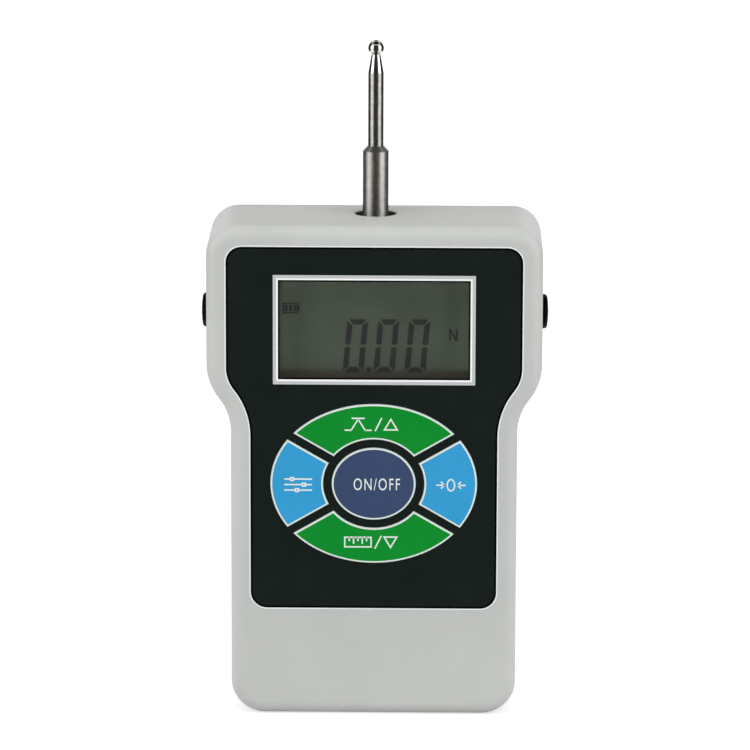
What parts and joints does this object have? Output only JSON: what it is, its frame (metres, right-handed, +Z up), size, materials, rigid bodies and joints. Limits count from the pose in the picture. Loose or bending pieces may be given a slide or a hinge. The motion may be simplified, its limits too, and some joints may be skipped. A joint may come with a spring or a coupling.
{
  "type": "digital force gauge",
  "caption": "Handheld digital force gauge with waisted grey case, display window, oval keypad, side push buttons and a ball-tipped steel contact probe.",
  "frame": {"origin": "under the middle of the flat foot that the gauge stands on", "axes": "+Z up along the probe, -Y out of the display face, +X to the right as the display is read"},
  "size_m": [0.0802, 0.0313, 0.1553],
  "materials": {
    "case_plastic": "light grey moulded ABS with a fine spark-eroded texture",
    "panel_black": "black polyester membrane panel, satin gloss",
    "frame_print": "white and pale grey printed frame",
    "window_clear": "clear polycarbonate window",
    "key_green": "green printed key, white outline",
    "key_blue": "light blue printed key, white outline",
    "key_navy": "navy printed key, white outline",
    "carrier_film": "clear polyester spacer and circuit film",
    "dome_steel": "stainless snap dome",
    "lcd_grey": "grey-green reflective liquid crystal display",
    "reflector_foil": "satin reflector foil",
    "elastomer": "striped conductive elastomer",
    "bezel_black": "black moulded bezel",
    "board_green": "green solder resist on glass-epoxy board",
    "chip_black": "black epoxy chip bodies",
    "connector_ivory": "ivory nylon connector",
    "switch_black": "black switch housing",
    "button_black": "black moulded push button, satin",
    "cell_aluminium": "milled aluminium alloy spring element",
    "gauge_foil": "polyimide-backed foil gauge",
    "chassis_aluminium": "sand-blasted anodised aluminium",
    "stainless": "turned and ground stainless steel",
    "screw_steel": "zinc-plated steel",
    "battery_jacket": "lacquered steel jacket",
    "terminal_nickel": "nickel-plated snap terminals",
    "cap_black": "soft black vinyl snap cap",
    "lead_insulation": "red vinyl insulation",
    "foam": "dark closed-cell foam"
  },
  "bodies": {
    "case": {"battery": "battery_jacket", "battery_leads": "lead_insulation", "battery_snap_cap": "cap_black", "battery_terminals": "terminal_nickel", "board_chips": "chip_black", "board_screws": "screw_steel", "case_screws": "screw_steel", "chassis_screws": "screw_steel", "display_window": "window_clear", "dome_spacer": "carrier_film", "front_housing": "case_plastic", "gauge_flex": "gauge_foil", "gauge_header": "connector_ivory", "lcd_bezel": "bezel_black", "lcd_glass": "lcd_grey", "lcd_reflector": "reflector_foil", "load_cell": "cell_aluminium", "load_cell_chassis": "chassis_aluminium", "load_cell_screw": "screw_steel", "main_board": "board_green", "membrane_circuit": "carrier_film", "membrane_overlay": "panel_black", "rear_cover": "case_plastic", "side_switch_left": "switch_black", "side_switch_right": "switch_black", "snap_domes": "dome_steel", "strain_gauges": "gauge_foil", "tail_connector": "connector_ivory", "window_frame": "frame_print", "zebra_strips": "elastomer"},
    "probe": {"measuring_shaft": "stainless", "shaft_lock_nut": "stainless", "contact_probe": "stainless"},
    "up_key": {"key_peak_up": "key_green"},
    "down_key": {"key_unit_down": "key_green"},
    "set_key": {"key_set": "key_blue"},
    "zero_key": {"key_zero": "key_blue"},
    "power_key": {"key_power": "key_navy"},
    "left_button": {"side_button_left": "button_black", "switch_plunger_left": "connector_ivory"},
    "right_button": {"side_button_right": "button_black", "switch_plunger_right": "connector_ivory"},
    "door": {"battery_door": "case_plastic", "battery_pad": "foam"}
  },
  "joints": [
    {"name": "probe_load", "type": "slide", "parent": "case", "child": "probe", "axis": [0, 0, 1], "range_m": [-0.0003, 0.0003], "stiffness_N_per_m": 30000, "deforming": ["load_cell"]},
    {"name": "up_key_press", "type": "slide", "parent": "case", "child": "up_key", "axis": [0, 1, 0], "range_m": [0, 0.00025], "stiffness_N_per_m": 6000},
    {"name": "down_key_press", "type": "slide", "parent": "case", "child": "down_key", "axis": [0, 1, 0], "range_m": [0, 0.00025], "stiffness_N_per_m": 6000},
    {"name": "set_key_press", "type": "slide", "parent": "case", "child": "set_key", "axis": [0, 1, 0], "range_m": [0, 0.00025], "stiffness_N_per_m": 6000},
    {"name": "zero_key_press", "type": "slide", "parent": "case", "child": "zero_key", "axis": [0, 1, 0], "range_m": [0, 0.00025], "stiffness_N_per_m": 6000},
    {"name": "power_key_press", "type": "slide", "parent": "case", "child": "power_key", "axis": [0, 1, 0], "range_m": [0, 0.00025], "stiffness_N_per_m": 6000},
    {"name": "left_button_press", "type": "slide", "parent": "case", "child": "left_button", "axis": [1, 0, 0], "range_m": [0, 0.0006], "stiffness_N_per_m": 3000},
    {"name": "right_button_press", "type": "slide", "parent": "case", "child": "right_button", "axis": [-1, 0, 0], "range_m": [0, 0.0006], "stiffness_N_per_m": 3000},
    {"name": "door_lift_off", "type": "slide", "parent": "case", "child": "door", "axis": [0, 1, 0], "range_m": [0, 0.025]}
  ]
}
